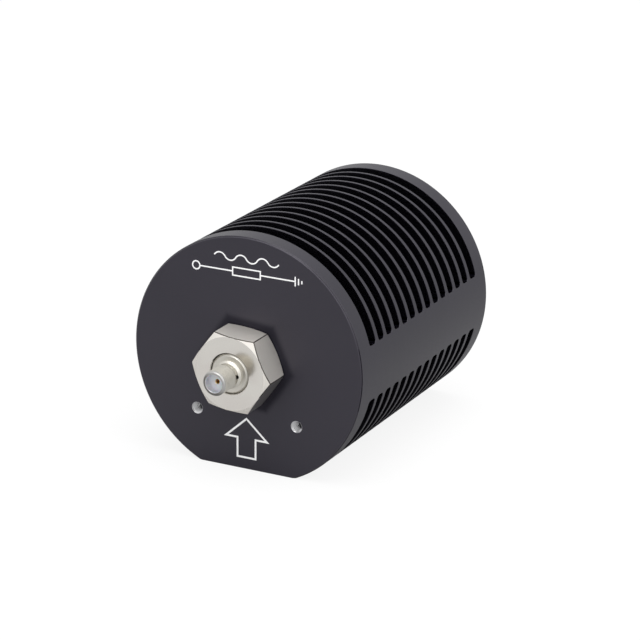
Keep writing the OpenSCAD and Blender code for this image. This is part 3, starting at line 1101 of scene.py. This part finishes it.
@dataclass
class Pen:
    """A pen that draws strokes of one width on the front disc."""

    face_y: float
    width: float
    ring_steps: int = 48
    arc_steps: int = 10
    mesh: BMesh = field(default_factory=bmesh.new)

    def spot(self, x: float, z: float) -> Vector:
        """Return a place on the face."""
        return Vector((x, self.face_y, z))

    def bar(self, start: Vector, end: Vector) -> None:
        """Draw a straight stroke, level or upright.

        Args:
            start: Its first end.
            end: Its second end.
        """
        size = Vector((max(self.width, abs(end.x - start.x)), 1.0, max(self.width, abs(end.z - start.z))))
        place = Matrix.Translation((start + end) / 2) @ Matrix.Diagonal((*size, 1.0)) @ TO_PORT
        bmesh.ops.create_grid(self.mesh, x_segments=1, y_segments=1, size=0.5, matrix=place)

    def loop(self, corners: list[Vector]) -> None:
        """Draw a closed outline, on the inner side of its corners."""
        self._hollow(self.mesh.faces.new([self.mesh.verts.new(corner) for corner in corners]))

    def ring(self, centre: Vector, radius: float) -> None:
        """Draw a circle.

        Args:
            centre: Its middle.
            radius: Its radius, at the stroke's outer side.
        """
        place = Matrix.Translation(centre) @ TO_PORT
        made = bmesh.ops.create_circle(
            self.mesh, cap_ends=True, segments=self.ring_steps, radius=radius, matrix=place
        )
        self._hollow(made["verts"][0].link_faces[0])

    def _hollow(self, face: BMFace) -> None:
        """Keep only a band along the edge of a face.

        Args:
            face: The face, which goes.
        """
        face.normal_update()
        bmesh.ops.inset_region(
            self.mesh, faces=[face], thickness=self.width, use_even_offset=True, use_boundary=True
        )
        bmesh.ops.delete(self.mesh, geom=[face], context="FACES")

    def wave(self, start: Vector, half_l: float, rise: float, count: int) -> None:
        """Draw a level wave of arcs that run smoothly into each other.

        Args:
            start: The wave's left end, on its middle line.
            half_l: The length of one arc's chord.
            rise: How far each arc stands off the middle line.
            count: How many arcs there are.
        """
        lean = 2 * math.atan2(2 * rise, half_l)
        radius = half_l / 2 / math.sin(lean)
        across = Vector((-math.sin(lean), 0.0, math.cos(lean))) * (self.width / 2)
        ends = [self.mesh.verts.new(start - across), self.mesh.verts.new(start + across)]
        edge = [*ends, self.mesh.edges.new(ends)]
        for i in range(count):
            side = 1 if i % 2 == 0 else -1
            centre = start + Vector(((i + 0.5) * half_l, 0.0, -side * radius * math.cos(lean)))
            made = bmesh.ops.spin(
                self.mesh, geom=edge, cent=centre, axis=(0, side, 0), angle=2 * lean, steps=self.arc_steps
            )
            edge = made["geom_last"]

    def solid(self, height: float) -> BMesh:
        """Raise the drawing in front of the face.

        Args:
            height: How far it stands out.

        Returns:
            The closed mesh.
        """
        made = bmesh.ops.extrude_face_region(self.mesh, geom=self.mesh.faces[:])
        raised = [item for item in made["geom"] if isinstance(item, BMVert)]
        bmesh.ops.translate(self.mesh, verts=raised, vec=(0.0, -height, 0.0))
        bmesh.ops.recalc_face_normals(self.mesh, faces=self.mesh.faces)
        return self.mesh


@dataclass
class FrontMarks:
    """Pale line marks on the front disc: a wave, a plain circuit symbol and an arrow to the port."""

    layout: Layout
    fine: float = 0.34 * MM
    bold: float = 0.50 * MM
    height: float = 0.02 * MM
    wave_z: float = 26.1 * MM
    wave_half: float = 8.9 * MM
    wave_rise: float = 0.85 * MM
    wave_arcs: int = 6
    circuit_z: float = 22.6 * MM
    circuit_half: float = 15.2 * MM
    box_half: float = 4.0 * MM
    box_rise: float = 1.2 * MM
    ring_r: float = 1.2 * MM
    earth_bars: int = 3
    earth_step: float = 0.9 * MM
    arrow_top: float = -15.0 * MM
    arrow_low: float = -25.9 * MM
    arrow_half: float = 6.4 * MM
    shaft_half: float = 2.8 * MM
    head: float = 5.8 * MM

    def build(self) -> None:
        """Make both groups of marks."""
        paint = Plain("mark_paint", (0.96, 0.96, 0.96), (0.90, 0.90, 0.91), 0.55, cloud_scale=1500.0)
        material = paint.material()
        for name, pen in (("line_marks", self._lines()), ("port_arrow", self._arrow())):
            enter(new_piece(name, pen.solid(self.height), material))

    def _lines(self) -> Pen:
        """Draw the wave, and below it a port ring, a resistor and an earth on one line.

        Returns:
            The pen with its drawing.
        """
        pen = Pen(self.layout.front_y, self.fine)
        axis = self.layout.axis_z
        arc_l = 2 * self.wave_half / self.wave_arcs
        pen.wave(pen.spot(-self.wave_half, axis + self.wave_z), arc_l, self.wave_rise, self.wave_arcs)
        z = axis + self.circuit_z
        left, right = -self.circuit_half, self.circuit_half - (self.earth_bars - 1) * self.earth_step
        pen.ring(pen.spot(left + self.ring_r, z), self.ring_r)
        corners = ((-1, -1), (1, -1), (1, 1), (-1, 1))
        pen.loop([pen.spot(side * self.box_half, z + end * self.box_rise) for side, end in corners])
        pen.bar(pen.spot(left + 2 * self.ring_r, z), pen.spot(-self.box_half, z))
        pen.bar(pen.spot(self.box_half, z), pen.spot(right, z))
        for i in range(self.earth_bars):
            rise = self.box_rise * (1 - i / self.earth_bars)
            x = right + i * self.earth_step
            pen.bar(pen.spot(x, z - rise), pen.spot(x, z + rise))
        return pen

    def _arrow(self) -> Pen:
        """Draw the outline of an arrow that points up to the port.

        Returns:
            The pen with its drawing.
        """
        pen = Pen(self.layout.front_y, self.bold)
        top, low = self.layout.axis_z + self.arrow_top, self.layout.axis_z + self.arrow_low
        shoulder = top - self.head
        head, shaft = self.arrow_half, self.shaft_half
        right = [(0.0, top), (head, shoulder), (shaft, shoulder), (shaft, low)]
        left = [(-x, z) for x, z in reversed(right[1:])]
        pen.loop([pen.spot(x, z) for x, z in right + left])
        return pen


@dataclass(frozen=True)
class Lamp:
    """A soft square lamp."""

    name: str
    place: tuple[float, float, float]
    side: float
    watts: float

    def hang(self, target: Vector) -> None:
        """Hang the lamp in its place.

        Args:
            target: What it points at.
        """
        data = bpy.data.lights.new(self.name, "AREA")
        data.size = self.side
        data.energy = self.watts
        lamp = bpy.data.objects.new(self.name, data)
        lamp.location = self.place
        lamp.rotation_mode = "QUATERNION"
        lamp.rotation_quaternion = (target - Vector(self.place)).to_track_quat("-Z", "Y")
        bpy.context.scene.collection.objects.link(lamp)


@dataclass
class Studio:
    """A plain pale studio, with the camera at the photograph's view."""

    layout: Layout
    azimuth: float = math.radians(27.35)
    elevation: float = math.radians(19.21)
    roll: float = math.radians(0.39)
    distance: float = 713.9 * MM
    behind_face: float = 31.75 * MM
    focal_px: float = 2797.0
    image_px: float = 640.0
    target_px: tuple[float, float] = (306.1, 323.3)
    sensor: float = 36.0
    clip: tuple[float, float] = (0.01, 10.0)
    floor_half: float = 1.5
    floor_gap: float = 0.02 * MM
    white: Opaque = (1.0, 1.0, 1.0, 1.0)
    paper: Opaque = (0.37, 0.37, 0.37, 1.0)
    glow: float = 1.15
    glow_share: float = 0.75
    mirror_share: float = 0.10
    world_light: float = 1.08
    lamps: tuple[Lamp, ...] = (
        Lamp("top", (0.08, -0.06, 0.80), side=0.75, watts=6.2),
        Lamp("side", (0.70, -0.16, 0.52), side=0.50, watts=3.0),
    )

    def build(self) -> None:
        """Set the camera, the world, the floor and the lamps."""
        self._camera()
        self._world()
        self._floor()
        for lamp in self.lamps:
            lamp.hang(Vector((0.0, 0.0, self.layout.axis_z)))

    def _camera(self) -> None:
        """Put the camera where the photograph was taken from."""
        data = bpy.data.cameras.new("camera")
        data.sensor_width = self.sensor
        data.lens = self.focal_px / self.image_px * self.sensor
        data.shift_x = (self.image_px / 2 - self.target_px[0]) / self.image_px
        data.shift_y = (self.target_px[1] - self.image_px / 2) / self.image_px
        data.clip_start, data.clip_end = self.clip
        camera = bpy.data.objects.new("camera", data)
        bpy.context.scene.collection.objects.link(camera)
        target = Vector((0.0, self.layout.front_y + self.behind_face, self.layout.axis_z))
        level = math.cos(self.elevation)
        back = Vector(
            (math.sin(self.azimuth) * level, -math.cos(self.azimuth) * level, math.sin(self.elevation))
        )
        right = Vector((math.cos(self.azimuth), math.sin(self.azimuth), 0.0))
        up = back.cross(right)
        facing = Matrix((right, up, back)).transposed() @ Matrix.Rotation(self.roll, 3, "Z")
        camera.matrix_world = Matrix.Translation(target + back * self.distance) @ facing.to_4x4()
        bpy.context.scene.camera = camera
        LOG.info("camera: lens %.1f mm", data.lens)

    def _seen(self, bench: Bench) -> tuple[Shade, Shade]:
        """Tell what is seen from what only gives light.

        Args:
            bench: The nodes to add to.

        Returns:
            1 for what the camera sees straight or through glass, and 1 for what it sees in a reflection.
        """
        path = bench.node("ShaderNodeLightPath")
        names = ("Is Camera Ray", "Is Transmission Ray", "Is Glossy Ray")
        straight, through, mirrored = (Shade(bench, path.outputs[name]) for name in names)
        return bench.math("MAXIMUM", straight, through), mirrored

    def _world(self) -> None:
        """Light evenly from all round, and show white to the camera and in reflections."""
        world = bpy.data.worlds.new("studio")
        bpy.context.scene.world = world
        bench = Bench(world)
        straight, mirrored = self._seen(bench)
        seen = bench.math("MAXIMUM", straight, mirrored)
        strength = self.world_light + (1.0 - self.world_light) * seen
        background = bench.node("ShaderNodeBackground", None, {"Color": self.white, "Strength": strength})
        bench.node("ShaderNodeOutputWorld", None, {"Surface": background.outputs[0]})

    def _floor(self) -> None:
        """Lay a pale floor that keeps a soft shadow of the object."""
        mesh = bmesh.new()
        drop = Matrix.Translation((0.0, 0.0, -self.floor_gap))
        bmesh.ops.create_grid(mesh, x_segments=1, y_segments=1, size=self.floor_half, matrix=drop)
        bench = Bench(bpy.data.materials.new("floor"))
        paper = bench.node("ShaderNodeBsdfDiffuse", None, {"Color": self.paper})
        glow = bench.node("ShaderNodeEmission", None, {"Strength": self.glow})
        straight, mirrored = self._seen(bench)
        share = bench.math("MAXIMUM", straight * self.glow_share, mirrored * self.mirror_share)
        both = bench.node("ShaderNodeMixShader", None, {0: share, 1: paper.outputs[0], 2: glow.outputs[0]})
        bench.node("ShaderNodeOutputMaterial", None, {"Surface": both.outputs[0]})
        new_piece("floor", mesh, bench.owner)


def main() -> None:
    """Build the looks in order: the studio first, then each sub-assembly."""
    logging.basicConfig(level=logging.INFO, format="%(name)s %(message)s")
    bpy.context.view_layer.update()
    bpy.context.scene.view_settings.view_transform = "Standard"
    layout = Layout.from_frame()
    for assembly in (Studio(layout), HeatSink(layout), FrontMarks(layout), Barrel(layout), Jack(layout)):
        assembly.build()
    bpy.context.view_layer.update()


if __name__ == "__main__":
    main()
